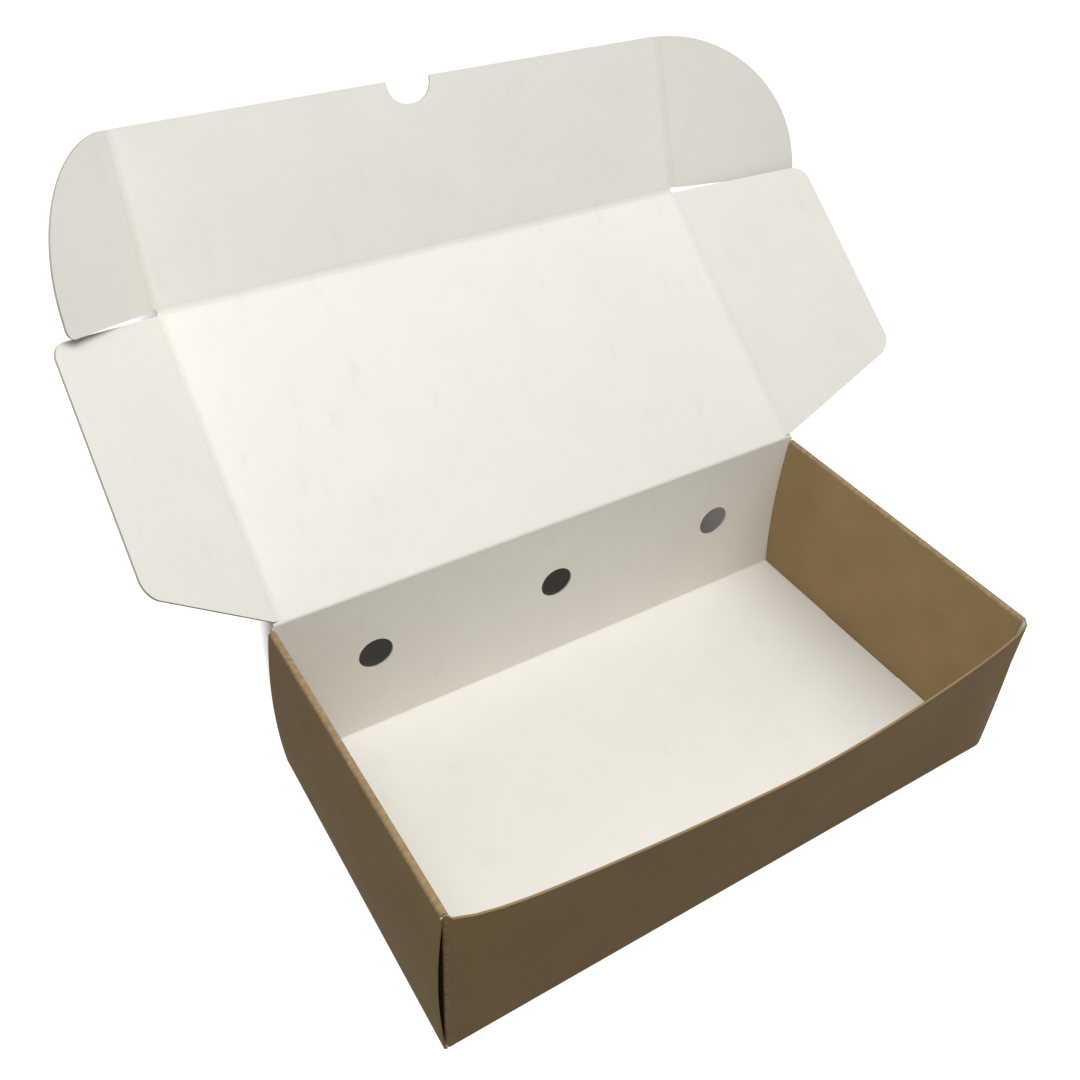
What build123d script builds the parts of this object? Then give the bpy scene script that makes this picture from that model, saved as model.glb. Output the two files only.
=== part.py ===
"""Takeaway food box folded from one die-cut sheet of thin corrugated board, standing open.

The tray has a base, a front wall, a back wall with three steam vents, and end walls that
are rolled over into two layers. The front and back walls carry tabs that lie between those
layers, and a tongue under each inner layer locks into a slot in the base. The lid folds on
the top of the back wall. It carries two side flaps and a tuck flap with a thumb notch, and
the tuck flap carries two rounded ears. Each panel that swings is a piece of its own.

Frame: X along the width, Y to the back, Z up, origin under the middle of the base.
"""

import os
from math import radians, tan

from build123d import *

# Driving dimensions in millimetres and degrees
board = 1.0  # thickness of the corrugated board
layer_gap = 0.1  # air between the layers of a rolled end wall
crease_gap = 0.3  # crushed width of a crease between two panels that swing
corner_gap = 0.3  # air where a panel's end stands beside another panel
fold_radius = 1.4  # outside radius of a fold

tray_width = 310.0  # outside, between the folds of the end walls
tray_depth = 167.0  # outside, between the folds of the front and back walls
end_height = 90.0  # top of the rolled end walls
end_bow = 3.5  # how far the outer layer of an end wall bellies out
hinge_rise = 2.2  # lid crease above the end walls
front_bow = 16.3  # how far the front rim leans out at its furthest
front_bow_at = 8.0  # where along the width the rim leans out furthest
front_lip = 2.5  # height of the fold at the foot of the front wall
foot_bow = 0.02  # how far the wall leans out above that fold
front_dip = 1.5  # how far the leaning rim sinks in the middle

tab_length = 68.0  # corner tabs between the layers of the end walls
tab_slope = 6.0  # slant of a corner tab's upper and lower edges
tab_heel = 2.8  # level stretch of a corner tab's foot beside its wall
tab_round = 0.9  # outside round where a tab turns off its wall, as a share of the board
tongue_width = 56.0  # locking tongue under an inner layer
vent_diameter = 20.5
vent_pitch = 104.0
vent_height = 51.0  # middle of the vents above the table

lid_front_clearance = 7.0  # from the shut lid's front crease to the front wall
lid_angle = 142.4  # angle of the lid from shut
lid_bevel = 0.47  # bevel of the lid's rear edge, as a share of the board
slip = 0.2  # running room between folded flaps and the walls
relief_radius = 1.7  # round end of the slot at a lid corner

flap_reach = 71.0  # side flap, from its crease to its free edge
flap_taper_angle = 17.3  # slant of its front and rear edges
flap_corner_radius = 10.0
flap_rear_start = 3.5  # its crease starts this far from the lid crease
flap_front_start = 1.4  # and ends this far short of the tuck crease
left_flap_angle = 39.9
right_flap_angle = 37.4

tuck_floor_clearance = 6.0  # tuck flap is shorter than the walls by this
tuck_angle = 33.3
notch_radius = 12.2
notch_lip_radius = 2.0

ear_reach = 69.0  # ear, from its crease to its free edge
ear_top = 2.0  # straight of its upper edge before the large round
ear_heel = 8.0  # straight of its free edge below the large round
ear_foot_start = 2.6  # its crease starts this far from the tuck crease
ear_foot_rise = 8.0  # its lower edge climbs this far on its way out
ear_foot_radius = 5.0
left_ear_angle = 47.7
right_ear_angle = 38.0

# Worked out from the sizes above
LEFT, RIGHT = -1, 1
half_width = tray_width / 2
half_depth = tray_depth / 2
end_thickness = 3 * board + 2 * layer_gap
wall_half = half_width - board - layer_gap  # front and back walls end inside the outer layers
hinge_y = half_depth - board / 2
hinge_z = end_height + hinge_rise
ear_crease = half_width - end_thickness - slip - board
flap_crease = ear_crease - slip - board
lid_depth = tray_depth - 2 * board - lid_front_clearance
tuck_depth = end_height - tuck_floor_clearance
half_gap = crease_gap / 2
through = 4 * board  # length of a cut that passes through the board


def base_and_back():
    """Base, back wall and the foot of the front wall: one bent strip with its vents."""
    ridge = hinge_z - half_gap
    with BuildSketch(Plane.YZ) as section:
        with BuildLine():
            Polyline(
                (-half_depth, front_lip),
                (-half_depth, 0),
                (half_depth, 0),
                (half_depth, ridge - board / 2),
                (hinge_y, ridge),
                (half_depth - board, ridge - board / 2),
                (half_depth - board, board),
                (-half_depth + board, board),
                (-half_depth + board, front_lip),
                close=True,
            )
        make_face()
        faces = section.vertices().group_by(Axis.X)
        fillet([faces[0].sort_by(Axis.Y)[0], faces[-1].sort_by(Axis.Y)[0]], fold_radius)
    strip = extrude(section.sketch, wall_half, both=True)
    vent = Rot(X=90) * Cylinder(vent_diameter / 2, through)
    for n in (-1, 0, 1):
        strip -= Pos(n * vent_pitch, hinge_y, vent_height) * vent
    return strip


def rim_strip(bow):
    """Section of the front wall, level with the table, leaning out by bow."""
    ends = [(-wall_half, -half_depth), (wall_half, -half_depth)]
    inner = Vector(0, board, 0)
    outer_edge = Spline(ends[0], (front_bow_at, -half_depth - bow), ends[1])
    inner_edge = outer_edge.moved(Location(inner))
    sides = [Line(Vector(*p), Vector(*p) + inner) for p in ends]
    return make_face([outer_edge, sides[1], inner_edge, sides[0]])


def front_wall():
    """Front wall, straight at its foot and bowed out along its rim."""
    top = end_height
    sections = [Pos(Z=front_lip) * rim_strip(foot_bow), Pos(Z=top) * rim_strip(front_bow)]
    wall = loft(sections, ruled=True)
    sag = ThreePointArc((-wall_half, top), (0, top - front_dip), (wall_half, top))
    above = make_face([sag, Line((-wall_half, top), (wall_half, top))])
    return wall - extrude(Plane.XZ * above, tray_depth, both=True)


def corner_tab(side, end):
    """Tab of the front (end -1) or back (end 1) wall that lies inside an end wall."""
    tab_top = end_height - board - corner_gap
    foot = board + corner_gap
    outline = Polyline(
        (half_depth, foot),
        (half_depth, tab_top),
        (half_depth - tab_length, tab_top - tab_slope),
        (half_depth - tab_length, foot + tab_slope),
        (half_depth - tab_heel, foot),
        close=True,
    )
    tab = extrude(Plane.YZ * make_face(outline), board)
    tab = Pos(X=wall_half - board) * tab
    root = tab.edges().filter_by(Axis.Z).sort_by(Axis.Y)[-2:].sort_by(Axis.X)[-1]
    tab = fillet(root, board * tab_round)
    if end == -1:
        tab = mirror(tab, Plane.XZ)
    if side == LEFT:
        tab = mirror(tab, Plane.YZ)
    return tab


def end_section(rolled):
    """Upright section of the right end wall: outer layer alone, or with its roll and inner layer."""
    inside = half_width - end_thickness
    belly = Vector(end_bow, end_height / 2)
    outer_foot, outer_top = Vector(half_width, 0), Vector(half_width, end_height)
    skin = Vector(-board, 0)
    roll = Vector(0, -board)
    root = Vector(wall_half - fold_radius, 0)
    rise = Vector(0, board)
    outer_face = ThreePointArc(outer_foot, outer_foot + belly, outer_top)
    inner_face = ThreePointArc(
        outer_top + skin + roll, outer_foot + skin + belly, outer_foot + skin + rise
    )
    if rolled:
        foot = Vector(inside, board + corner_gap)
        head = Polyline(
            outer_top,
            Vector(inside, end_height),
            foot,
            foot - skin,
            Vector(inside, end_height) - skin + roll,
            outer_top + skin + roll,
        )
    else:
        head = Polyline(outer_top, outer_top + skin, outer_top + skin + roll)
    base = Polyline(outer_foot + skin + rise, root + rise, root, outer_foot)
    with BuildSketch(Plane.XZ) as section:
        with BuildLine():
            add([outer_face, head, inner_face, base])
        make_face()
        corners = section.vertices().sort_by_distance(outer_foot)[:1]
        if rolled:
            corners += section.vertices().sort_by_distance(outer_top)[:1]
            corners += section.vertices().sort_by_distance((inside, end_height))[:1]
        fillet(corners, fold_radius)
    return section.sketch


def end_wall(side):
    """Rolled end wall: outer layer the full depth, roll and inner layer between the other walls."""
    wall = extrude(end_section(rolled=False), half_depth, both=True)
    wall += extrude(end_section(rolled=True), half_depth - board - corner_gap, both=True)
    tongue = Box(
        board, tongue_width, board + 2 * corner_gap, align=(Align.MIN, Align.CENTER, Align.MIN)
    )
    wall += Pos(half_width - end_thickness, 0, corner_gap) * tongue
    return mirror(wall, Plane.YZ) if side == LEFT else wall


def tongue_slot(side):
    """Slot in the base that the locking tongue of one end wall sits in."""
    width = board + 2 * corner_gap
    slot = Box(width, tongue_width + 2 * corner_gap, through)
    return Pos(side * (half_width - end_thickness + board / 2), 0, board / 2) * slot


def tray():
    """The folded tray, one sheet."""
    body = base_and_back()
    for side in (LEFT, RIGHT):
        body -= tongue_slot(side)
    body += front_wall()
    for side in (LEFT, RIGHT):
        body += [corner_tab(side, -1), corner_tab(side, 1)]
        body += end_wall(side)
    return body


def relief(x, y):
    """Round end of the slot where two creases meet."""
    return Pos(x, y) * Circle(relief_radius)


def lid_panel():
    """Lid, drawn flat from its crease at Y 0, half its thickness each side of Z 0."""
    half = flap_crease - half_gap
    outline = Pos(0, lid_depth / 2) * Rectangle(2 * half, lid_depth - crease_gap)
    for side in (LEFT, RIGHT):
        outline -= relief(side * flap_crease, lid_depth)
    panel = extrude(outline, board / 2, both=True)
    rear = panel.edges().filter_by(Axis.X).group_by(Axis.Y)[0]
    return chamfer(rear, board * lid_bevel)


def side_flap(side):
    """Side flap, drawn flat with its crease on the Y axis and its inner face at Z 0."""
    slant = flap_reach * tan(radians(flap_taper_angle))
    front = lid_depth - flap_front_start
    with BuildSketch() as flap:
        with BuildLine():
            Polyline(
                (half_gap, flap_rear_start),
                (flap_reach, flap_rear_start + slant),
                (flap_reach, front - slant),
                (half_gap, front),
                close=True,
            )
        make_face()
        fillet(flap.vertices().group_by(Axis.X)[-1], flap_corner_radius)
    panel = extrude(flap.sketch, -board)
    return mirror(panel, Plane.YZ) if side == LEFT else panel


def tuck_flap():
    """Tuck flap with its thumb notch, drawn flat from its crease at Y 0, inner face at Z 0."""
    half = ear_crease - half_gap
    with BuildSketch() as flap:
        with Locations((0, (half_gap + tuck_depth) / 2)):
            Rectangle(2 * half, tuck_depth - half_gap)
        with Locations((0, tuck_depth)):
            Circle(notch_radius, mode=Mode.SUBTRACT)
        lips = flap.vertices().group_by(Axis.Y)[-1].sort_by(Axis.X)[1:-1]
        fillet(lips, notch_lip_radius)
        for side in (LEFT, RIGHT):
            with Locations((side * ear_crease, 0)):
                Circle(relief_radius, mode=Mode.SUBTRACT)
    return extrude(flap.sketch, -board)


def tuck_ear(side):
    """Ear of the tuck flap, drawn flat with its crease on the Y axis, inner face at Z 0."""
    toe = ear_foot_start + ear_foot_rise
    heel = toe + ear_heel
    with BuildSketch() as ear:
        with BuildLine():
            Polyline(
                (ear_top, tuck_depth),
                (half_gap, tuck_depth),
                (half_gap, ear_foot_start),
                (ear_reach, toe),
                (ear_reach, heel),
            )
            EllipticalCenterArc((ear_top, heel), ear_reach - ear_top, tuck_depth - heel, arc_size=90)
        make_face()
        foot = ear.vertices().group_by(Axis.X)[-1].sort_by(Axis.Y)[0]
        fillet(foot, ear_foot_radius)
    panel = extrude(ear.sketch, -board)
    return mirror(panel, Plane.YZ) if side == LEFT else panel


def folded(crease_x, side, angle):
    """Place of a flat flap on a crease at crease_x, folded inwards by angle degrees."""
    return Pos(X=side * crease_x) * Rot(Y=-side * angle)


lid_place = Pos(0, hinge_y, hinge_z) * Rot(X=180 - lid_angle)
lid_inside = lid_place * Pos(Z=board / 2)
tuck_place = lid_inside * Pos(Y=lid_depth) * Rot(X=tuck_angle)

nodes = {
    "tray": tray(),
    "lid_panel": lid_place * lid_panel(),
    "side_flap_left": lid_inside * folded(flap_crease, LEFT, left_flap_angle) * side_flap(LEFT),
    "side_flap_right": lid_inside * folded(flap_crease, RIGHT, right_flap_angle) * side_flap(RIGHT),
    "tuck_flap": tuck_place * tuck_flap(),
    "tuck_ear_left": tuck_place * folded(ear_crease, LEFT, left_ear_angle) * tuck_ear(LEFT),
    "tuck_ear_right": tuck_place * folded(ear_crease, RIGHT, right_ear_angle) * tuck_ear(RIGHT),
}

os.makedirs("parts", exist_ok=True)
for name, shape in nodes.items():
    shape.label = name
    export_step(shape, f"parts/{name}.step")
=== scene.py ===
# %% [markdown]
# # A takeaway food box, finished from its working model
# The box is one sheet of thin corrugated board: white paper on the inside, brown kraft paper on
# the outside. It is cut flat, creased and folded up without glue. The lesson goes the same way.
# Every panel is drawn flat in millimetres, given its thickness, and folded on its creases. Thin
# solid boxes would be quicker, but folding gives the soft creases, the rolled walls and the run
# of the paper over them without any faking.

# %% Load the fixed frame
import math
from collections import namedtuple

import bmesh
import bpy
from mathutils import Matrix, Vector
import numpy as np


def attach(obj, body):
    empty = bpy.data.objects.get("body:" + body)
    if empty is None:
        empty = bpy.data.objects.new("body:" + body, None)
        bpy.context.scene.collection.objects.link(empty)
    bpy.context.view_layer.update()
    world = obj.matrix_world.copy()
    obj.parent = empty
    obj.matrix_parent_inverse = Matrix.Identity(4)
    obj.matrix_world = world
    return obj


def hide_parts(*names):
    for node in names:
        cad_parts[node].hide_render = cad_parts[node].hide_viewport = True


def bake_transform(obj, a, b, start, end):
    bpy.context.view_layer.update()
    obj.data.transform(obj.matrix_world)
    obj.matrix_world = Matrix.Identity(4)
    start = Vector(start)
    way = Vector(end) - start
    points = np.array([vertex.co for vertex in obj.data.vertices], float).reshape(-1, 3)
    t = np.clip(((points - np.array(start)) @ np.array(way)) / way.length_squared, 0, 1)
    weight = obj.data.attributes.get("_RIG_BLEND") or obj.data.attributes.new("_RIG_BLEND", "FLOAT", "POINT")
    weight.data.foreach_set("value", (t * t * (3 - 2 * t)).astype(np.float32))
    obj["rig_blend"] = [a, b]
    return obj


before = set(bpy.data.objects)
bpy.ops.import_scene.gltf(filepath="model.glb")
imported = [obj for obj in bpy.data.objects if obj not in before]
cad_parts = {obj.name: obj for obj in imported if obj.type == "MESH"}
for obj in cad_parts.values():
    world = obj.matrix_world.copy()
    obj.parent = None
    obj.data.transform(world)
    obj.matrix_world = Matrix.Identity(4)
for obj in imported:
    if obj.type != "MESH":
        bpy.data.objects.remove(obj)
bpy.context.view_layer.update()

# %% [markdown]
# ## Look from where the picture was taken
# The camera stands in front of the left corner and looks down into the open tray. It could be set
# by eye, but a box has straight edges that give it away: its place, turn, lens and small shift
# were found by matching the corners of the tray and lid to the picture.

# %% Camera
camera_place = (-0.26294, -0.30284, 0.47443)
camera_turn = (51.8933, -1.7668, -31.4524)
camera_lens, film_width = 39.9017, 36
camera_shift = (0.00263, -0.04208)
camera = bpy.data.objects.new("camera", bpy.data.cameras.new("camera"))
bpy.context.scene.collection.objects.link(camera)
camera.location = camera_place
camera.rotation_euler = [math.radians(angle) for angle in camera_turn]
camera.data.sensor_width = film_width
camera.data.lens = camera_lens
camera.data.shift_x, camera.data.shift_y = camera_shift
bpy.context.scene.camera = camera
print("camera stands", round(Vector(camera_place).length, 3), "m from the middle of the base")

# %% [markdown]
# ## Draw and cut flat board
# A panel starts as a flat rectangle lying white side up. Straight cuts trim it and lay down the
# rows where it will bend, as a cutting and creasing die does. An outline typed point by point
# would need its rows added by hand. A cut right across the sheet keeps every row straight.

# %% Flat drawing helpers
along_x, along_y = 0, 1


def sheet(name, low, high):
    """A flat rectangle of board from its low to its high corner, left in edit mode."""
    bpy.ops.object.select_all(action="DESELECT")
    bpy.ops.mesh.primitive_plane_add(size=1)
    panel = bpy.context.object
    panel.name = name
    panel.location = ((low[0] + high[0]) / 2, (low[1] + high[1]) / 2, 0)
    panel.scale = (high[0] - low[0], high[1] - low[1], 1)
    bpy.ops.object.transform_apply(location=True, rotation=False, scale=True)
    bpy.ops.object.mode_set(mode="EDIT")
    print(name, "starts as", [round(value, 1) for value in panel.dimensions.xy], "mm of board")
    return panel


def cut(point, normal, trim=False):
    """Cut straight through the flat sheet; a trim drops the side the normal points to."""
    bpy.ops.mesh.select_all(action="SELECT")
    bpy.ops.mesh.bisect(plane_co=(*point, 0), plane_no=Vector((*normal, 0)).normalized(),
                        clear_outer=trim)


def cut_rows(along, rows):
    """Cut straight across the sheet at each place along x or y."""
    for row in rows:
        if along == along_x:
            cut((row, 0), (1, 0))
        else:
            cut((0, row), (0, 1))


# %% Picking helpers
select_modes = {"verts": "VERT", "edges": "EDGE", "faces": "FACE"}


def pick(kind, wanted):
    """Select the vertices, edges or faces whose middle passes a test."""
    panel = bpy.context.edit_object
    bpy.ops.mesh.select_mode(type=select_modes[kind])
    bpy.ops.mesh.select_all(action="DESELECT")
    net = bmesh.from_edit_mesh(panel.data)
    for part in getattr(net, kind):
        corners = [part] if kind == "verts" else part.verts
        middle = sum((vertex.co for vertex in corners), Vector()) / len(corners)
        part.select_set(wanted(middle))
    net.select_flush_mode()
    bmesh.update_edit_mesh(panel.data)


def remove(wanted):
    """Cut away the faces whose middle passes a test."""
    pick("faces", wanted)
    bpy.ops.mesh.delete(type="FACE")


def only(panel):
    """Make the panel the one selected, active object."""
    bpy.ops.object.select_all(action="DESELECT")
    panel.select_set(True)
    bpy.context.view_layer.objects.active = panel


# %% [markdown]
# ## Thickness
# The board is about a millimetre thick. A solid slab could be cut instead, but a flat sheet is
# easier to trim and to cut into rows. So Solidify adds the thickness after the cutting, downwards,
# and the white face stays where it was drawn.

# %% Thickness helper
board = 1.0


def thicken(panel):
    """Give the flat sheet its thickness, below the white face."""
    bpy.ops.mesh.select_all(action="SELECT")
    bpy.ops.mesh.normals_make_consistent(inside=False)
    if next(iter(bmesh.from_edit_mesh(panel.data).faces)).normal.z < 0:
        bpy.ops.mesh.flip_normals()
    bpy.ops.object.mode_set(mode="OBJECT")
    wall = panel.modifiers.new("thickness", "SOLIDIFY")
    wall.thickness = board
    wall.offset = -1
    bpy.ops.object.modifier_apply(modifier=wall.name)


print("board is", board, "mm thick")

# %% [markdown]
# ## Fold on a crease
# A pressed crease does not bend in a line. The board turns over a narrow strip, so the strip is cut
# into rows and each row turns a little further than the one before. A bend modifier could do one
# crease, but not a wall that is folded four times. The folds are worked from the far end of the
# sheet back to the base, so every row is still flat when it becomes the hinge.

# %% Creases on the flat sheet
def crease_start(corner, angle, width):
    """Where a bend begins, when its two straight sides would meet at the corner."""
    turn = math.radians(angle)
    return corner - width / turn * math.tan(turn / 2)


def past_crease(corner, height, angle, width):
    """The flat place of a point that ends up this far beyond a folded corner."""
    return corner + height + width - 2 * (corner - crease_start(corner, angle, width))


def crease_rows(start, width, rows, margin=0.5):
    """The rows of a bend, with one flat row before it and one after."""
    bend = [start + width * row / rows for row in range(rows + 1)]
    return [start - margin] + bend + [start + width + margin]


def seam_rows(start, width, rows):
    """The rows of a bend that begins at the edge of its sheet."""
    return crease_rows(start, width, rows)[2:]


print("a square crease of 1 mm begins", round(-crease_start(0, 90, 1), 3), "mm before its corner")

# %% Folding helper
widest_crease = 6.0
hair = 0.001


def fold(panel, along, side, start, angle, width, rows, depth=0.0, where=None):
    """Turn everything beyond a crease towards the white face, row by row."""
    only(panel)
    bpy.ops.object.mode_set(mode="EDIT")
    bpy.ops.mesh.select_mode(type="VERT")
    net = bmesh.from_edit_mesh(panel.data)
    lain = [Vector(vertex[net.verts.layers.float_vector["lain"]]) for vertex in net.verts]
    spots = [side * flat[along] if where is None or where(flat) else -math.inf for flat in lain]
    if width < widest_crease:
        creased = net.verts.layers.float["creased"]
        for vertex, spot in zip(net.verts, spots):
            if start - hair < spot < start + width + hair:
                vertex[creased] = 1.0
    turn = math.radians(angle) / rows * side * (1 if along == along_x else -1)
    for row in reversed(range(rows)):
        line = start + width * (row + 1) / rows
        pivot = [0, 0, depth]
        pivot[along] = side * (line - width / rows / 2)
        bpy.ops.mesh.select_all(action="DESELECT")
        net = bmesh.from_edit_mesh(panel.data)
        for vertex, spot in zip(net.verts, spots):
            vertex.select_set(spot > line - hair)
        net.select_flush_mode()
        bmesh.update_edit_mesh(panel.data)
        bpy.ops.transform.rotate(value=turn, orient_axis="YX"[along], orient_type="GLOBAL",
                                 center_override=pivot)
    bpy.ops.object.mode_set(mode="OBJECT")


# %% [markdown]
# ## Materials
# Paper is never one flat tone, so each finish is mixed from a few layers of cloudy noise. A photo
# of board would be quicker, but it would carry its own light and repeat. The layers are laid out
# on the flat sheet in millimetres, so the flutes and fibres run on over every crease.

# %% Wiring helper
class Wire:
    """A shader value that can be reckoned with like a number."""

    def __init__(self, tree, socket=None):
        self.tree = tree
        self.socket = socket

    def node(self, kind, settings=None, inputs=None, output=0):
        """Add a node: its settings first, then the values or wires of its sockets."""
        node = self.tree.nodes.new(kind)
        for name, value in (settings or {}).items():
            setattr(node, name, value)
        for name, value in (inputs or {}).items():
            if isinstance(value, Wire):
                self.tree.links.new(value.socket, node.inputs[name])
            else:
                node.inputs[name].default_value = value
        return Wire(self.tree, node.outputs[output])

    def math(self, operation, first, second=0.0):
        """Add a Math node."""
        return self.node("ShaderNodeMath", {"operation": operation}, {0: first, 1: second})

    def __add__(self, other):
        return self.math("ADD", self, other)

    def __sub__(self, other):
        return self.math("SUBTRACT", self, other)

    def __mul__(self, other):
        return self.math("MULTIPLY", self, other)

    def __radd__(self, other):
        return self.math("ADD", other, self)

    def __rsub__(self, other):
        return self.math("SUBTRACT", other, self)

    def __rmul__(self, other):
        return self.math("MULTIPLY", other, self)


# %% Shader helpers
def start_material(name):
    """A new material, its shader and a wire to start from."""
    material = bpy.data.materials.new(name)
    material.use_nodes = True
    tree = material.node_tree
    return material, tree.nodes["Principled BSDF"], Wire(tree)


def connect(wire, shader, name):
    """Lead a wire into a socket of the shader."""
    wire.tree.links.new(wire.socket, shader.inputs[name])


def mix(wire, factor, first, second):
    """Blend two colours."""
    return wire.node("ShaderNodeMix", {"data_type": "RGBA"}, {0: factor, 6: first, 7: second}, 2)


def noise(wire, spot, scale, detail, stretch=(1, 1, 1)):
    """Cloudy grey between 0 and 1, in features of 1/scale millimetres."""
    drawn = wire.node("ShaderNodeVectorMath", {"operation": "MULTIPLY"}, {0: spot, 1: stretch})
    return wire.node("ShaderNodeTexNoise", {},
                     {"Vector": drawn, "Scale": scale, "Detail": detail})


def mask(wire, value, low, high):
    """0 below the low mark, 1 above the high one."""
    return wire.node("ShaderNodeMapRange", {}, {0: value, 1: low, 2: high})


# %% Paper helpers
flute_pitch = 1.8
relief_unit = 0.001


def paper(name, gloss):
    """Start a paper: its material, shader and wire, and its flat place in millimetres."""
    material, shader, wire = start_material(name)
    shader.inputs["Specular IOR Level"].default_value = gloss
    return material, shader, wire, wire.node("ShaderNodeUVMap", {"uv_map": "flat"})


def flute_wave(wire, flat):
    """The wave of the flutes, which run across the box."""
    across_flutes = wire.node("ShaderNodeSeparateXYZ", {}, {0: flat}, along_y)
    return wire.math("SINE", across_flutes * (2 * math.pi / flute_pitch))


def marked(wire, name):
    """A number that the mesh carries at every point."""
    return wire.node("ShaderNodeAttribute", {"attribute_name": name}, {}, 2)


def emboss(wire, shader, relief, strength):
    """Let a relief in millimetres tilt the light."""
    inputs = {"Strength": strength, "Distance": relief_unit, "Height": relief}
    connect(wire.node("ShaderNodeBump", {}, inputs), shader, "Normal")


print("flutes are", flute_pitch, "mm apart")

# %% [markdown]
# ### White liner
# The inside is smooth white paper, a little cloudy and warm. The flutes under it show as faint
# washboard lines, handling leaves soft grey scuffs, and the rows of a pressed crease are painted a
# little greyer.
# A single white would be simpler, but it looks like plastic.

# %% White liner
white_dull, white_bright = (0.785, 0.765, 0.705, 1), (0.87, 0.855, 0.795, 1)
scuff_grey, crease_grey = (0.74, 0.715, 0.655, 1), (0.66, 0.63, 0.57, 1)
white_fibre, scuff_stroke = (0.25, 1, 1), (1, 0.35, 1)
white_liner, shader, wire, flat = paper("white_liner", 0.3)
flutes = flute_wave(wire, flat)
clouds = noise(wire, flat, 0.03, 4)
fibres = noise(wire, flat, 0.9, 3, white_fibre)
grain = noise(wire, flat, 4.0, 2)
scuffs = mask(wire, noise(wire, flat, 0.12, 6, scuff_stroke), 0.60, 0.72)
tone = clouds * 0.6 + fibres * 0.25 + flutes * 0.05 * clouds + 0.05
colour = mix(wire, tone, white_dull, white_bright)
colour = mix(wire, scuffs * 0.25, colour, scuff_grey)
colour = mix(wire, marked(wire, "creased") * (0.12 + 0.2 * grain), colour, crease_grey)
connect(colour, shader, "Base Color")
connect(0.50 + fibres * 0.16 + scuffs * 0.1, shader, "Roughness")
emboss(wire, shader, flutes * 0.02 * clouds + fibres * 0.03 + grain * 0.012, 0.35)
print("white liner has", len(wire.tree.nodes), "nodes")

# %% [markdown]
# ### Kraft liner
# The outside is raw brown paper made of long fibres, with darker specks among them. Along the
# creases the surface is rubbed paler, in patches, as the fibres break there. A plain brown would
# do from afar, but close up the fibres are what makes it paper.

# %% Kraft liner
kraft_dark, kraft_light = (0.245, 0.162, 0.078, 1), (0.39, 0.275, 0.140, 1)
speck_brown, rubbed_tan = (0.12, 0.075, 0.035, 1), (0.52, 0.40, 0.25, 1)
kraft_fibre, speck_stroke = (0.2, 1, 1), (0.6, 1, 1)
kraft_liner, shader, wire, flat = paper("kraft_liner", 0.12)
flutes = flute_wave(wire, flat)
clouds = noise(wire, flat, 0.04, 5)
fibres = noise(wire, flat, 1.1, 4, kraft_fibre)
specks = mask(wire, noise(wire, flat, 1.6, 2, speck_stroke), 0.66, 0.74)
rubbed = mask(wire, noise(wire, flat, 0.5, 5), 0.42, 0.62)
tone = clouds * 0.6 + fibres * 0.35 + flutes * 0.06 * clouds
colour = mix(wire, tone, kraft_dark, kraft_light)
colour = mix(wire, specks * 0.5, colour, speck_brown)
colour = mix(wire, marked(wire, "creased") * rubbed * 0.45, colour, rubbed_tan)
connect(colour, shader, "Base Color")
connect(0.68 + fibres * 0.2, shader, "Roughness")
emboss(wire, shader, flutes * 0.015 * clouds + fibres * 0.05, 0.4)
print("kraft liner has", len(wire.tree.nodes), "nodes")

# %% [markdown]
# ### Kraft in the pockets, with painted shade
# The corner tabs lie in the dark between the two layers of an end wall. Their kraft is painted
# much darker than the kraft liner, as painted shade, so the gap at the corner stays dark whatever
# light the box stands in.

# %% Kraft in the pockets, with painted shade
painted_shade_dark, painted_shade_pale = (0.030, 0.020, 0.011, 1), (0.055, 0.037, 0.020, 1)
painted_shade_kraft, shader, wire, flat = paper("painted_shade_kraft", 0.1)
fibres = noise(wire, flat, 1.1, 4, kraft_fibre)
connect(mix(wire, fibres, painted_shade_dark, painted_shade_pale), shader, "Base Color")
connect(0.8 + fibres * 0.15, shader, "Roughness")
emboss(wire, shader, fibres * 0.05, 0.3)
print("pocket kraft has", len(wire.tree.nodes), "nodes")

# %% [markdown]
# ### Cut edge
# A cut edge shows the two liners and the wavy sheet between them. At a millimetre that is too fine
# to model, so the edge is painted by its depth in the board: pale at the white side, tan at the
# kraft side, and a darker brown as painted shade where the wave leaves a hollow.

# %% Cut edge
edge_white, edge_tan = (0.80, 0.77, 0.70, 1), (0.55, 0.45, 0.31, 1)
hollow_shade_brown, fluff_tan = (0.50, 0.43, 0.33, 1), (0.60, 0.52, 0.40, 1)
cut_edge, shader, wire, flat = paper("cut_edge", 0.5)
wave = flute_wave(wire, flat)
across = marked(wire, "across")
off_middle = wire.math("ABSOLUTE", across - 0.5)
off_wave = wire.math("ABSOLUTE", across - 0.5 - wave * 0.3)
medium = 1 - mask(wire, off_wave, 0.10, 0.22)
liners = mask(wire, off_middle, 0.34, 0.40)
fibres = noise(wire, flat, 2.5, 3)
solid = wire.math("MAXIMUM", medium, liners)
layers = mix(wire, mask(wire, across, 0.5, 0.9), edge_white, edge_tan)
layers = mix(wire, fibres * 0.3, layers, fluff_tan)
# Where neither liner nor wave is solid, the hollow gets painted shade.
connect(mix(wire, solid, hollow_shade_brown, layers), shader, "Base Color")
connect(0.8 + fibres * 0.15, shader, "Roughness")
emboss(wire, shader, solid * 0.2 + fibres * 0.05, 0.6)
print("cut edge has", len(wire.tree.nodes), "nodes")

# %% [markdown]
# ### Give every face its paper
# While a panel is still flat, its three surfaces are easy to tell apart: white liner above, kraft
# liner below and the cut edge round the sides. The flat place of every point is kept as well, as a
# UV map for the papers and as a mark for the folds.

# %% Paper on the board
white_slot, kraft_slot, edge_slot, painted_shade_slot = 0, 1, 2, 3
facing = 0.5


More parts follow.
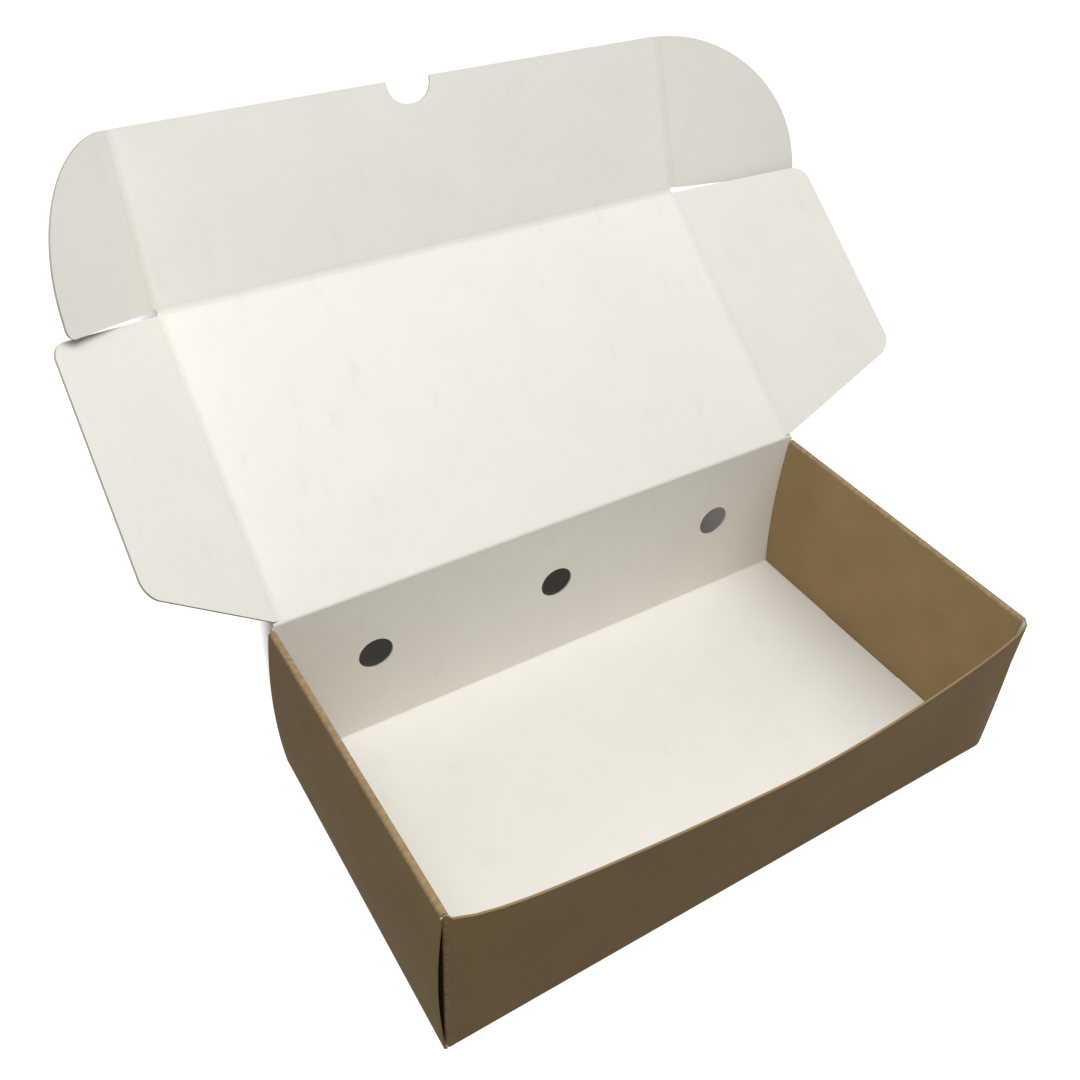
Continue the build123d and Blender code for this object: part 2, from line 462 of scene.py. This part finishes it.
def face_with_paper(panel):
    """Remember where every point lay flat, and give each face its paper."""
    mesh = panel.data
    flat = mesh.uv_layers.new(name="flat")
    for loop in mesh.loops:
        flat.data[loop.index].uv = mesh.vertices[loop.vertex_index].co.xy
    lain = mesh.attributes.new("lain", "FLOAT_VECTOR", "POINT")
    for vertex in mesh.vertices:
        lain.data[vertex.index].vector = vertex.co
    across = mesh.attributes.new("across", "FLOAT", "POINT")
    for vertex in mesh.vertices:
        across.data[vertex.index].value = -vertex.co.z / board
    mesh.attributes.new("creased", "FLOAT", "POINT")
    mesh.materials.clear()
    for material in (white_liner, kraft_liner, cut_edge, painted_shade_kraft):
        mesh.materials.append(material)
    for face in mesh.polygons:
        if face.normal.z > facing:
            face.material_index = white_slot
        elif face.normal.z < -facing:
            face.material_index = kraft_slot
        else:
            face.material_index = edge_slot


# %% [markdown]
# ## Tray: base, back wall, front wall and corner tabs
# These panels are one run of board from the front rim over the base to the top of the back wall.
# The tabs grow from the ends of both walls and fold in between the layers of the end walls. They
# could be separate pieces, but cut from one sheet the corners close by themselves.

# %% Flat outline of the tray
half_width, half_depth = 152.9, 82.5
back_height, front_height = 89.2, 89.0
square_crease, square_rows = 1.2, 6
tab_low, tab_high, tab_gap = 0.4, 87.7, 2
back_start = crease_start(half_depth, 90, square_crease)
back_top = past_crease(half_depth, back_height, 90, square_crease)
front_top = past_crease(half_depth, front_height, 90, square_crease)
tray = sheet("tray_walls", (-half_width, -front_top), (half_width, back_top))
cut_rows(along_y, crease_rows(back_start, square_crease, square_rows))
cut_rows(along_y, [-row for row in crease_rows(back_start, square_crease, square_rows)])
tab_foot = past_crease(half_depth, tab_low, 90, square_crease) + tab_gap
tab_top = past_crease(half_depth, tab_high, 90, square_crease)
cut_rows(along_y, [tab_foot, tab_top, -tab_foot, -tab_top])
print("tray blank runs", round(front_top + back_top, 1), "mm from rim to rim")

# %% Tongue slots, and a grid for the bowed front wall
slot_half, slot_width = 28.5, 1.4
columns = 32
bow_rows, bow_row_height = 6, 12
cut_rows(along_x, [half_width - slot_width, slot_width - half_width])
cut_rows(along_y, [-slot_half, slot_half])
remove(lambda spot: abs(spot.x) > half_width - slot_width and abs(spot.y) < slot_half)
cut_rows(along_x, [half_width * (2 * column / columns - 1) for column in range(1, columns)])
cut_rows(along_y, [-half_depth - bow_row_height * row for row in range(1, bow_rows + 1)])
print("tongue slots are", 2 * slot_half, "mm long")

# %% Corner tabs
tab_crease, tab_rows = 0.8, 4
tab_length = 67.0
near = 0.01
tab_start = crease_start(0, 90, tab_crease)
tab_reaches = crease_rows(tab_start, tab_crease, tab_rows)[1:]
tab_reaches.append(past_crease(0, tab_length, 90, tab_crease))
for end in (-1, 1):
    pick("edges", lambda spot: end * spot.x > half_width - near
         and tab_foot < abs(spot.y) < tab_top)
    for reach in tab_reaches:
        net = bmesh.from_edit_mesh(tray.data)
        now = max(end * vertex.co.x for vertex in net.verts if vertex.select)
        if half_width + reach > now + near:
            bpy.ops.mesh.extrude_region_move(
                TRANSFORM_OT_translate={"value": (end * (half_width + reach - now), 0, 0)})
print("tabs end", round(half_width + tab_reaches[-1], 1), "mm from the middle of the sheet")

# %% [markdown]
# Three steam vents are punched through the back wall. A ring of cut rows could leave round holes
# as well, but a Boolean with a plain cylinder is what a punch does, and its wall stays clean.

# %% Punch the steam vents
vent_radius = 9.1
vent_pitch, vent_height = 104, 50
punch_sides, punch_length = 56, 6 * board


def punch(panel, spots, radius):
    """Punch round holes through the thick flat sheet."""
    for x, y in spots:
        bpy.ops.object.select_all(action="DESELECT")
        bpy.ops.mesh.primitive_cylinder_add(vertices=punch_sides, radius=radius,
                                            depth=punch_length, location=(x, y, 0))
        tool = bpy.context.object
        hole = panel.modifiers.new("hole", "BOOLEAN")
        hole.object = tool
        only(panel)
        bpy.ops.object.modifier_apply(modifier=hole.name)
        bpy.data.objects.remove(tool)


vent_row = past_crease(half_depth, vent_height, 90, square_crease)
thicken(tray)
punch(tray, [(x, vent_row) for x in (-vent_pitch, 0, vent_pitch)], vent_radius)
print("three vents of", 2 * vent_radius, "mm")

# %% Paper of the tray
rim_strip = 0.1
face_with_paper(tray)
# Kraft faces of the corner tabs get the kraft with painted shade, for the dark gap in the end walls.
for face in tray.data.polygons:
    if abs(face.center.x) > half_width + tab_crease and face.material_index == kraft_slot:
        face.material_index = painted_shade_slot
    elif face.center.y < rim_strip - front_top and face.material_index == edge_slot:
        face.material_index = kraft_slot
print("pocket kraft on", sum(face.material_index == painted_shade_slot for face in tray.data.polygons),
      "faces")

# %% Fold the tray
off_base = 1
for end in (-1, 1):
    fold(tray, along_x, end, half_width + tab_start, 90, tab_crease, tab_rows,
         where=lambda flat: abs(flat.y) > half_depth + off_base)
for wall in (-1, 1):
    fold(tray, along_y, wall, back_start, 90, square_crease, square_rows)
print("folded tray is", [round(value, 1) for value in tray.dimensions], "mm")

# %% [markdown]
# The front wall of the real box has been pulled open and stays bowed: its foot is straight and its
# rim swings out most near the middle, dipping as it goes, and comes back quickly at the corners.
# Moving its points one by one would leave dents, so a cage round the wall gives it that curve. A
# second cage spreads the foot at the left front corner, where the tray is a little out of square.

# %% Cage helper
def cage(panel, members, low, high, counts, move):
    """Warp some points of a panel with a cage whose own points are moved by a rule."""
    group = panel.vertex_groups.new(name="caged")
    inside = [vertex.index for vertex in panel.data.vertices if members(vertex.co)]
    group.add(inside, 1, "REPLACE")
    low, high = Vector(low), Vector(high)
    bpy.ops.object.select_all(action="DESELECT")
    bpy.ops.object.add(type="LATTICE", location=(low + high) / 2)
    lattice = bpy.context.object
    lattice.scale = high - low
    lattice.data.points_u, lattice.data.points_v, lattice.data.points_w = counts
    for way, count in zip("uvw", counts):
        curve = "KEY_CATMULL_ROM" if count > 2 else "KEY_LINEAR"
        setattr(lattice.data, "interpolation_type_" + way, curve)
    for point in lattice.data.points:
        share = point.co + Vector((0.5, 0.5, 0.5))
        shift = Vector(move(share))
        point.co_deform += Vector(value / size for value, size in zip(shift, lattice.scale))
    warp = panel.modifiers.new("warp", "LATTICE")
    warp.object = lattice
    warp.vertex_group = group.name
    only(panel)
    bpy.ops.object.modifier_apply(modifier=warp.name)
    panel.vertex_groups.clear()
    bpy.data.objects.remove(lattice)
    print("cage moved", len(inside), "points of", panel.name)


# %% Bow the front wall
bow_most, bow_at, rim_dip = 16.3, 10.0, 1.5
bow_left, bow_right = (2.0, 0.70), (2.3, 0.82)
slow_power, quick_power = 1.6, 12
bow_columns = 33


def rim_bow(x):
    """How far the rim stands out at a place along it."""
    rest, slow = bow_left if x < bow_at else bow_right
    share = (x - bow_at) / (math.copysign(half_width, x - bow_at) - bow_at)
    fall = slow * share ** slow_power + (1 - slow) * share ** quick_power
    return bow_most - (bow_most - rest) * fall


def lean_out(share):
    """How far a point of the cage moves: nothing at the foot, the bow at the rim."""
    bow = rim_bow(half_width * (2 * share.x - 1)) * share.z
    return 0, -bow, -rim_dip * bow / bow_most


cage(tray, lambda spot: spot.y < 2 * near - half_depth and abs(spot.x) <= half_width + near,
     (-half_width, -half_depth - 2 * board, 0), (half_width, -half_depth + board, front_height),
     (bow_columns, 2, 2), lean_out)
print("rim stands out", [round(rim_bow(x), 1) for x in (-140, -70, 0, 70, 140)], "mm")

# %% Spread the left front foot
foot_out_left, foot_out_front = 1.6, 2.4
tray_low, tray_high = (-158, -84, -board), (158, 84, 90)


def spread_foot(share):
    """Move the foot out at the left front corner and leave the rim alone."""
    left, front, low = 1 - share.x, 1 - share.y, 1 - share.z
    return -foot_out_left * left * front * low, -foot_out_front * left * front * low, 0


cage(tray, lambda spot: True, tray_low, tray_high, (2, 2, 2), spread_foot)

# %% [markdown]
# A folded panel of the tray only rises by the thickness of the base, and shrinks from millimetres
# to metres. Both are applied to the mesh, so that the object itself stays at the origin. Shading
# smooth by angle rounds the rows of a bend and keeps the cut edges sharp.

# %% Place the tray
smooth_angle = 32
to_metres = Matrix.Scale(0.001, 4)
tray_place = to_metres @ Matrix.Translation((0, 0, board))


def place(panel, where):
    """Move the finished panel to its place and shade its bends smooth."""
    only(panel)
    panel.matrix_world = where
    bpy.ops.object.transform_apply(location=True, rotation=True, scale=True)
    bpy.ops.object.shade_smooth_by_angle(angle=math.radians(smooth_angle))
    size = [round(value * 1000, 1) for value in panel.dimensions]
    print(panel.name, "is", size, "mm with", len(panel.data.polygons), "faces")


place(tray, tray_place)

# %% [markdown]
# ## End walls
# Each end of the tray is one panel that goes up outside, turns over at the top and comes down
# inside, where a tongue at its foot locks into the base. The turned top shows as a narrow brown
# roll. Pushed by the roll, the outer layer bellies out and leaves a lens-shaped gap at the corner.
# Two flat slabs would have neither roll nor gap, so the panel is folded like the rest, and a belly
# is one wide, weak bend between two creases.

# %% Folds of an end wall
end_corner, end_rise, inner_short = 154.0, 88.0, 0.3
roll_crease, roll_rows = 0.8, 4
belly_rows, belly_gap = 14, 0.4
Fold = namedtuple("Fold", "start angle width rows")


def bowed(chord, belly):
    """Lean at each end, in degrees, and length of a panel that bellies out over a chord."""
    lean = 2 * math.atan(2 * belly / chord)
    return math.degrees(lean), chord * lean / math.sin(lean)


def end_folds(outer_belly, inner_belly, roll_width):
    """The folds of an end wall from its foot inwards, and where its inner layer ends."""
    outer_lean, outer_arc = bowed(end_rise, outer_belly)
    inner_lean, inner_arc = bowed(end_rise - inner_short, inner_belly)
    outer_turn, inner_turn = 90 - outer_lean, 90 - inner_lean
    one_corner = past_crease(end_corner, outer_arc, outer_turn, square_crease)
    two_corner = past_crease(one_corner, roll_width, outer_turn, roll_crease)
    inner_end = past_crease(two_corner, inner_arc, inner_turn, roll_crease)
    foot = crease_start(end_corner, outer_turn, square_crease)
    roll_one = crease_start(one_corner, outer_turn, roll_crease)
    roll_two = crease_start(two_corner, inner_turn, roll_crease)
    outer = foot + square_crease + belly_gap
    inner = roll_two + roll_crease + belly_gap
    return [Fold(foot, outer_turn, square_crease, square_rows),
            Fold(outer, 2 * outer_lean, roll_one - belly_gap - outer, belly_rows),
            Fold(roll_one, outer_turn, roll_crease, roll_rows),
            Fold(roll_two, inner_turn, roll_crease, roll_rows),
            Fold(inner, 2 * inner_lean, inner_end - inner, belly_rows)], inner_end


print("a belly of 2 mm leans", round(bowed(end_rise, 2)[0], 1), "degrees at its ends")

# %% Cut an end wall
outer_half, inner_half = 82.9, 82.2
tongue_half, tongue_drop = 28.0, 1.0
foot_margin, roll_margin = 0.3, 0.1


def cut_end_wall(name, folds, inner_end):
    """The flat end wall with its rows, tongue and paper."""
    foot, outer, roll_one, roll_two, inner = folds
    wall = sheet(name, (half_width, -outer_half), (inner_end + tongue_drop, outer_half))
    for bend, margin in ((foot, foot_margin), (roll_one, roll_margin), (roll_two, roll_margin)):
        cut_rows(along_x, crease_rows(bend.start, bend.width, bend.rows, margin))
    for bend in (outer, inner):
        cut_rows(along_x, [bend.start + bend.width * row / bend.rows
                           for row in range(bend.rows + 1)])
    cut_rows(along_y, [-inner_half, -tongue_half, tongue_half, inner_half])
    remove(lambda spot: abs(spot.y) > inner_half
           and (spot.x > roll_one.start - roll_margin or spot.x < foot.start))
    remove(lambda spot: spot.x > inner_end and abs(spot.y) > tongue_half)
    thicken(wall)
    face_with_paper(wall)
    # Front and back cut edges get the darker kraft liner, painted shade for the dark corner lines.
    for face in wall.data.polygons:
        if face.material_index == edge_slot and abs(face.normal.y) > facing:
            face.material_index = kraft_slot
    return wall


# %% Roll the end walls over
def mirror(panel):
    """Turn a right-hand panel into a left-hand one."""
    only(panel)
    panel.scale.x = -1
    bpy.ops.object.transform_apply(location=False, rotation=False, scale=True)
    for lain in panel.data.attributes["lain"].data:
        lain.vector.x *= -1
    for corner in panel.data.uv_layers["flat"].data:
        corner.uv.x *= -1
    bpy.ops.object.mode_set(mode="EDIT")
    bpy.ops.mesh.select_all(action="SELECT")
    bpy.ops.mesh.normals_make_consistent(inside=False)
    bpy.ops.object.mode_set(mode="OBJECT")


def end_wall(name, side, outer_belly, inner_belly, roll_width):
    """An end wall rolled over into two layers that bulge apart."""
    folds, inner_end = end_folds(outer_belly, inner_belly, roll_width)
    wall = cut_end_wall(name, folds, inner_end)
    for bend in reversed(folds):
        fold(wall, along_x, 1, *bend)
    if side < 0:
        mirror(wall)
        cage(wall, lambda spot: True, tray_low, tray_high, (2, 2, 2), spread_foot)
    place(wall, tray_place)
    return wall


end_right = end_wall("end_wall_right", 1, outer_belly=1.2, inner_belly=2.6, roll_width=1.2)
end_left = end_wall("end_wall_left", -1, outer_belly=2.8, inner_belly=1.0, roll_width=1.3)

# %% [markdown]
# ## Lid
# The lid is a plain panel. It begins a little way down the back wall and bends backwards over the
# hinge crease, which runs through the middle of the board at the top of the back wall. It could
# start at the crease, but then the hinge would open a slit as the lid moves. All lid panels are
# folded flat on the bench and then tilted together about the hinge.

# %% Lid panel
lid_tilt = 37.6
hinge = Vector((0, 83.0, 92.2))
hinge_crease, hinge_rows = 1.2, 6
wall_strip, wall_half = 2.0, 153.4
root_half, root_length = 152.4, 1.4
lid_seam, flap_seam = 155.6, 147.2
lid_place = (to_metres @ Matrix.Translation(hinge)
             @ Matrix.Rotation(math.radians(lid_tilt), 4, "X")
             @ Matrix.Translation((0, 0, board / 2)))
hinge_start = -hinge_crease / 2
lid = sheet("lid_sheet", (-wall_half, -wall_strip), (wall_half, lid_seam))
cut_rows(along_y, crease_rows(hinge_start, hinge_crease, hinge_rows) + [root_length])
cut_rows(along_x, [-root_half, -flap_seam, flap_seam, root_half])
remove(lambda spot: (abs(spot.x) > root_half and spot.y > hinge_start)
       or (abs(spot.x) > flap_seam and spot.y > root_length))
thicken(lid)
face_with_paper(lid)
fold(lid, along_y, -1, hinge_start, lid_tilt - 90, hinge_crease, hinge_rows, depth=-board / 2)
place(lid, lid_place)

# %% [markdown]
# ## Side flaps
# Both side flaps are cut alike: edges tapering towards a straight outer edge with rounded corners.
# They stand at slightly different angles, as springy board does. So one flap is cut flat, copied
# and mirrored, and only the folding differs.

# %% Rounding and copying helpers
def round_corner(point, reach, rows=10):
    """Round the corner at a point, starting this far along each edge."""
    pick("verts", lambda spot: (spot.xy - Vector(point)).length < 5 * near)
    bpy.ops.mesh.bevel(offset=reach, segments=rows, affect="VERTICES", profile=0.5)


def mirrored_copy(panel, name):
    """The same panel for the left side, with a mesh of its own."""
    only(panel)
    bpy.ops.object.duplicate(linked=False)
    twin = bpy.context.object
    twin.name = name
    mirror(twin)
    return twin


# %% Side flaps
flap_corner, flap_front, flap_reach = 149.4, 156.6, 72.0
flap_rear_slant, flap_front_slant, flap_round = 20.8, 21.1, 7.4
flap_crease, flap_rows, flap_cut_angle = 4.0, 8, 38
flap_angles = {"left": 39.9, "right": 37.4}
flap_edge = past_crease(flap_corner, flap_reach, flap_cut_angle, flap_crease)
flap_start = flap_corner - flap_crease / 2
flap_right = sheet("flap_right_sheet", (flap_seam, root_length), (flap_edge, flap_front))
cut((root_half, root_length), (flap_rear_slant, root_half - flap_edge), True)
cut((flap_corner, flap_front), (flap_front_slant, flap_edge - flap_corner), True)
for corner_y in (root_length + flap_rear_slant, flap_front - flap_front_slant):
    round_corner((flap_edge, corner_y), flap_round)
cut_rows(along_x, seam_rows(flap_start, flap_crease, flap_rows))
thicken(flap_right)
face_with_paper(flap_right)
flap_left = mirrored_copy(flap_right, "flap_left_sheet")
fold(flap_right, along_x, 1, flap_start, flap_angles["right"], flap_crease, flap_rows)
fold(flap_left, along_x, -1, flap_start, flap_angles["left"], flap_crease, flap_rows)
for flap in (flap_right, flap_left):
    place(flap, lid_place)

# %% [markdown]
# ## Tuck flap
# The tuck flap closes the front. A thumb notch is cut in its edge, and small relief holes at its
# two lower corners keep the creases from tearing. The notch could be punched like a vent, but its
# mouth is rounded too, so it is cut square and its corners are bevelled.

# %% Tuck flap
tuck_corner, tuck_depth, tuck_angle = 158.0, 84.0, 33.3
tuck_crease, tuck_rows = 4.4, 8
ear_seam, ear_foot = 148.6, 1.2
relief_x, relief_y, relief_radius = 151.3, 158.2, 1.8
tuck_start = tuck_corner - tuck_crease / 2
tuck_edge = past_crease(tuck_corner, tuck_depth, tuck_angle, tuck_crease)
ear_line = tuck_corner + ear_foot
notch_middle, notch_half, notch_depth = -1.8, 11.9, 11.9
notch_flat, mouth_round = 1.2, 0.9
notch_floor = tuck_edge - notch_depth
tuck = sheet("tuck_sheet", (-relief_x, lid_seam), (relief_x, tuck_edge))
cut_rows(along_x, [notch_middle - notch_half, notch_middle + notch_half])
cut_rows(along_x, [-ear_seam, -flap_seam, flap_seam, ear_seam])
cut_rows(along_y, [notch_floor, flap_front, ear_line])
remove(lambda spot: abs(spot.x - notch_middle) < notch_half and spot.y > notch_floor)
remove(lambda spot: (abs(spot.x) > flap_seam and spot.y < flap_front)
       or (abs(spot.x) > ear_seam and spot.y > ear_line))
for end in (-1, 1):
    notch_side = notch_middle + end * notch_half
    round_corner((notch_side, notch_floor), notch_depth - notch_flat, 14)
    round_corner((notch_side, tuck_edge), mouth_round, 4)
cut_rows(along_y, seam_rows(tuck_start, tuck_crease, tuck_rows))
thicken(tuck)
punch(tuck, [(-relief_x, relief_y), (relief_x, relief_y)], relief_radius)
face_with_paper(tuck)
fold(tuck, along_y, 1, tuck_start, tuck_angle, tuck_crease, tuck_rows)
place(tuck, lid_place)

# %% [markdown]
# ## Tuck ears
# The ears are quarter-round wings at the ends of the tuck flap. They fold the same way and guide
# the flap into the tray. Like the side flaps they are cut once and mirrored. The right one sags a
# little, which a cage gives it while it is flat. The last fold tilts both with the tuck flap.

# %% Cut the ears
ear_corner, ear_length, ear_rise = 150.6, 69.0, 5.0
ear_crease, ear_rows, ear_cut_angle = 4.0, 8, 40
ear_round, ear_foot_round = 66.0, 5
ear_start = ear_corner - ear_crease / 2
ear_edge = past_crease(ear_corner, ear_length, ear_cut_angle, ear_crease)
ear_right = sheet("ear_right_sheet", (ear_seam, ear_line), (ear_edge, tuck_edge))
cut((ear_seam, ear_line), (ear_rise, ear_seam - ear_edge), True)
round_corner((ear_edge, ear_line + ear_rise), ear_foot_round, 8)
round_corner((ear_edge, tuck_edge), ear_round, 28)
cut_rows(along_x, seam_rows(ear_start, ear_crease, ear_rows))
thicken(ear_right)
punch(ear_right, [(relief_x, relief_y)], relief_radius)
face_with_paper(ear_right)
ear_left = mirrored_copy(ear_right, "ear_left_sheet")

# %% Fold the ears
ear_sag = 5.2
ear_angles = {"left": 47.7, "right": 38.0}
tilt_width = 0.02
cage(ear_right, lambda spot: True, (ear_seam, ear_line, -board), (ear_edge, tuck_edge, 0),
     (2, 2, 2), lambda share: (0, -ear_sag * share.x, 0))
fold(ear_right, along_x, 1, ear_start, ear_angles["right"], ear_crease, ear_rows)
fold(ear_left, along_x, -1, ear_start, ear_angles["left"], ear_crease, ear_rows)
for ear in (ear_right, ear_left):
    fold(ear, along_y, 1, tuck_corner - tilt_width / 2, tuck_angle, tilt_width, 1)
    place(ear, lid_place)

# %% [markdown]
# ## Tie the panels to the moving parts
# Tray panels ride on the tray. A lid panel could ride on its own part alone, but it starts a little
# before its crease, so it is blended between the two parts the crease joins and bends there when
# the box is closed.

# %% Bodies
hinge_below, hinge_past = (0, 0.083, 0.0914), 0.8
bend_out, bend_up = 1.6, 1.2
lid_middle, ear_middle = lid_seam / 2, 40
tuck_place = (lid_place @ Matrix.Translation((0, tuck_corner, 0))
              @ Matrix.Rotation(math.radians(tuck_angle), 4, "X"))


def on_panel(where, x, y, z=0.0):
    """A point of a flat panel, in metres where that panel stands."""
    return tuple(where @ Vector((x, y, z)))


for panel in (tray, end_right, end_left):
    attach(panel, "tray")
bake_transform(lid, "tray", "lid", hinge_below, on_panel(lid_place, 0, hinge_past, -board / 2))
for side, flap, body in ((1, flap_right, "flap_right"), (-1, flap_left, "flap_left")):
    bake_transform(flap, "lid", body, on_panel(lid_place, side * flap_start, lid_middle),
             on_panel(lid_place, side * (flap_corner + bend_out), lid_middle, bend_up))
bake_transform(tuck, "lid", "tuck", on_panel(lid_place, 0, tuck_start),
         on_panel(tuck_place, 0, tuck_crease / 2))
for side, ear, body in ((1, ear_right, "ear_right"), (-1, ear_left, "ear_left")):
    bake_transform(ear, "tuck", body, on_panel(tuck_place, side * ear_start, ear_middle),
             on_panel(tuck_place, side * (ear_corner + bend_out), ear_middle, bend_up))
print("hinge bends from", hinge_below, "m")

# %% Replaced solids and board
replaced = {"tray": tray, "lid_panel": lid, "side_flap_left": flap_left,
            "side_flap_right": flap_right, "tuck_flap": tuck, "tuck_ear_left": ear_left,
            "tuck_ear_right": ear_right}
for node, panel in replaced.items():
    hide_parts(node)
print(len(replaced), "solids are replaced by folded panels")

# %% [markdown]
# ## Floor and light
# The floor is a plain pale sheet. A far lamp shines on it alone, low and from the front, so it is
# white round the box and keeps a soft shadow behind it, where the vents look out. A brighter room
# would whiten the floor too, but would wash out the paper. The box itself is lit by two large soft
# lamps above its front and by a dim even room.

# %% Floor
floor_size = 8
floor_dim, floor_pale = (0.06, 0.06, 0.06, 1), (0.45, 0.45, 0.45, 1)


def seen_rays(wire):
    """1 for the rays that show a background, from the camera, in gloss and through glass."""
    seen = wire.node("ShaderNodeLightPath", output="Is Camera Ray")
    for ray in ("Is Glossy Ray", "Is Transmission Ray"):
        seen = wire.math("MAXIMUM", seen, wire.node("ShaderNodeLightPath", output=ray))
    return seen


bpy.ops.object.select_all(action="DESELECT")
bpy.ops.mesh.primitive_plane_add(size=floor_size)
floor = bpy.context.object
floor.name = "floor"
floor_paint, shader, wire = start_material("floor_paint")
connect(mix(wire, seen_rays(wire), floor_dim, floor_pale), shader, "Base Color")
shader.inputs["Roughness"].default_value = 1.0
shader.inputs["Specular IOR Level"].default_value = 0.0
floor.data.materials.append(floor_paint)
print("floor is", floor_size, "m square")

# %% Floor lamp
floor_lamp_height, floor_lamp_turn = 29, 17
floor_lamp_strength, floor_lamp_blur = 14, 5
bpy.ops.object.select_all(action="DESELECT")
bpy.ops.object.light_add(type="SUN", rotation=(math.radians(90 - floor_lamp_height), 0,
                                               math.radians(-floor_lamp_turn)))
floor_lamp = bpy.context.object
floor_lamp.name = "floor_lamp"
floor_lamp.data.energy = floor_lamp_strength
floor_lamp.data.angle = math.radians(floor_lamp_blur)
lit_floor = bpy.data.collections.new("lit_floor")
lit_floor.objects.link(floor)
floor_lamp.light_linking.receiver_collection = lit_floor

# %% Soft lamps
box_middle = Vector((0, 0.05, 0.1))


def soft_lamp(name, where, size, energy):
    """A round soft lamp turned to the middle of the box."""
    bpy.ops.object.select_all(action="DESELECT")
    bpy.ops.object.light_add(type="AREA", location=where)
    lamp = bpy.context.object
    lamp.name = name
    lamp.rotation_euler = (Vector(where) - box_middle).to_track_quat("Z", "Y").to_euler()
    lamp.data.shape = "DISK"
    lamp.data.size = size
    lamp.data.energy = energy
    print(name, "is", round((Vector(where) - box_middle).length, 2), "m from the box")


soft_lamp("key_lamp", (-0.20, -0.20, 0.84), size=0.55, energy=3.9)
soft_lamp("side_lamp", (0.58, -0.28, 1.60), size=1.1, energy=9.9)

# %% Room
room_dim, room_white = (0.17, 0.17, 0.17, 1), (1, 1, 1, 1)
world = bpy.data.worlds.new("room")
bpy.context.scene.world = world
world.use_nodes = True
wire = Wire(world.node_tree)
background = world.node_tree.nodes["Background"]
connect(mix(wire, seen_rays(wire), room_dim, room_white), background, "Color")
bpy.context.scene.view_settings.view_transform = "Standard"
print("room lights the box with", room_dim[0], "of white")
